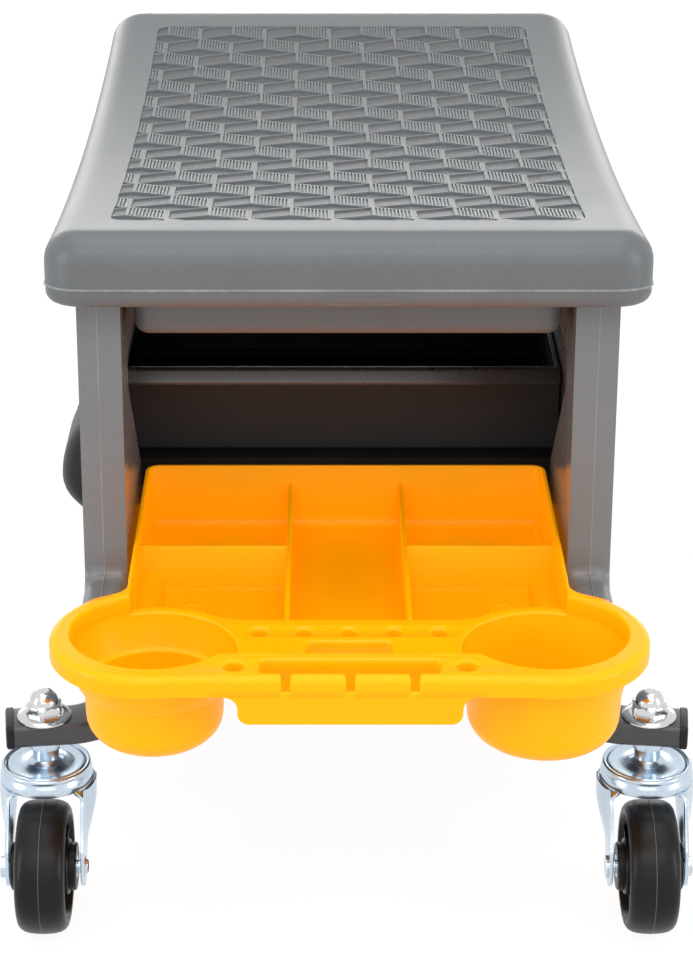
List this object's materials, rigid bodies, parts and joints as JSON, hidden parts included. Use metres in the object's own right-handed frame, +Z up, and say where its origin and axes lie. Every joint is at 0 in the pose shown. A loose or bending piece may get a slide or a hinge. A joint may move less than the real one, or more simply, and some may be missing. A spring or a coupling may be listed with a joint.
{
  "type": "creeper seat",
  "caption": "Rolling low seat with a dished grip-patterned top on two side panels, bent tube rails with swivel casters, a side drawer and pull-out tool trays with cup holders.",
  "frame": {"origin": "on the floor under the middle of the seat", "axes": "+X to the side away from the drawer's pull, -Y towards the front tray, +Z up"},
  "size_m": [0.3926, 0.786, 0.407],
  "materials": {
    "grey_plastic": "fine grain, satin",
    "black_plastic": "satin",
    "yellow_plastic": "semi-gloss, slightly translucent",
    "rail_paint": "satin paint",
    "cap_plastic": "matte",
    "zinc_steel": "bright zinc plating",
    "bright_steel": "polished plating",
    "wheel_plastic": "satin"
  },
  "bodies": {
    "base": {"seat": "grey_plastic", "left_panel": "grey_plastic", "right_panel": "grey_plastic", "left_side_rail": "rail_paint", "right_side_rail": "rail_paint", "rail_end_caps": "cap_plastic", "panel_bolts": "zinc_steel", "panel_bolt_washers": "zinc_steel", "seat_screws": "zinc_steel", "front_drawer_runner": "black_plastic", "rear_drawer_runner": "black_plastic", "runner_screws": "zinc_steel", "caster_stems": "zinc_steel", "caster_upper_races": "zinc_steel", "caster_bearing_balls": "bright_steel", "stem_washers": "bright_steel", "stem_cap_nuts": "bright_steel"},
    "drawer": {"drawer": "black_plastic", "drawer_pull": "black_plastic", "pull_screws": "zinc_steel"},
    "front_tray": {"front_tray": "yellow_plastic"},
    "rear_tray": {"rear_tray": "yellow_plastic"},
    "front_left_caster": {"front_left_fork": "zinc_steel", "front_left_axle_bolt": "bright_steel", "front_left_axle_nut": "bright_steel"},
    "front_left_wheel": {"front_left_wheel": "wheel_plastic", "front_left_hub_sleeve": "zinc_steel"},
    "front_right_caster": {"front_right_fork": "zinc_steel", "front_right_axle_bolt": "bright_steel", "front_right_axle_nut": "bright_steel"},
    "front_right_wheel": {"front_right_wheel": "wheel_plastic", "front_right_hub_sleeve": "zinc_steel"},
    "rear_left_caster": {"rear_left_fork": "zinc_steel", "rear_left_axle_bolt": "bright_steel", "rear_left_axle_nut": "bright_steel"},
    "rear_left_wheel": {"rear_left_wheel": "wheel_plastic", "rear_left_hub_sleeve": "zinc_steel"},
    "rear_right_caster": {"rear_right_fork": "zinc_steel", "rear_right_axle_bolt": "bright_steel", "rear_right_axle_nut": "bright_steel"},
    "rear_right_wheel": {"rear_right_wheel": "wheel_plastic", "rear_right_hub_sleeve": "zinc_steel"}
  },
  "joints": [
    {"name": "drawer_slide", "type": "slide", "parent": "base", "child": "drawer", "axis": [-1, 0, 0], "range_m": [0, 0.18]},
    {"name": "front_tray_slide", "type": "slide", "parent": "base", "child": "front_tray", "axis": [0, -1, 0], "range_m": [0, 0.12]},
    {"name": "rear_tray_slide", "type": "slide", "parent": "base", "child": "rear_tray", "axis": [0, 1, 0], "range_m": [0, 0.12]},
    {"name": "front_left_swivel", "type": "hinge", "parent": "base", "child": "front_left_caster", "pos_m": [-0.17, -0.239, 0.085], "axis": [0, 0, 1], "continuous": true},
    {"name": "front_left_spin", "type": "hinge", "parent": "front_left_caster", "child": "front_left_wheel", "pos_m": [-0.17, -0.266, 0.0375], "axis": [1, 0, 0], "continuous": true},
    {"name": "front_right_swivel", "type": "hinge", "parent": "base", "child": "front_right_caster", "pos_m": [0.17, -0.239, 0.085], "axis": [0, 0, 1], "continuous": true},
    {"name": "front_right_spin", "type": "hinge", "parent": "front_right_caster", "child": "front_right_wheel", "pos_m": [0.17, -0.266, 0.0375], "axis": [1, 0, 0], "continuous": true},
    {"name": "rear_left_swivel", "type": "hinge", "parent": "base", "child": "rear_left_caster", "pos_m": [-0.17, 0.239, 0.085], "axis": [0, 0, 1], "continuous": true},
    {"name": "rear_left_spin", "type": "hinge", "parent": "rear_left_caster", "child": "rear_left_wheel", "pos_m": [-0.17, 0.266, 0.0375], "axis": [1, 0, 0], "continuous": true},
    {"name": "rear_right_swivel", "type": "hinge", "parent": "base", "child": "rear_right_caster", "pos_m": [0.17, 0.239, 0.085], "axis": [0, 0, 1], "continuous": true},
    {"name": "rear_right_spin", "type": "hinge", "parent": "rear_right_caster", "child": "rear_right_wheel", "pos_m": [0.17, 0.266, 0.0375], "axis": [1, 0, 0], "continuous": true}
  ]
}
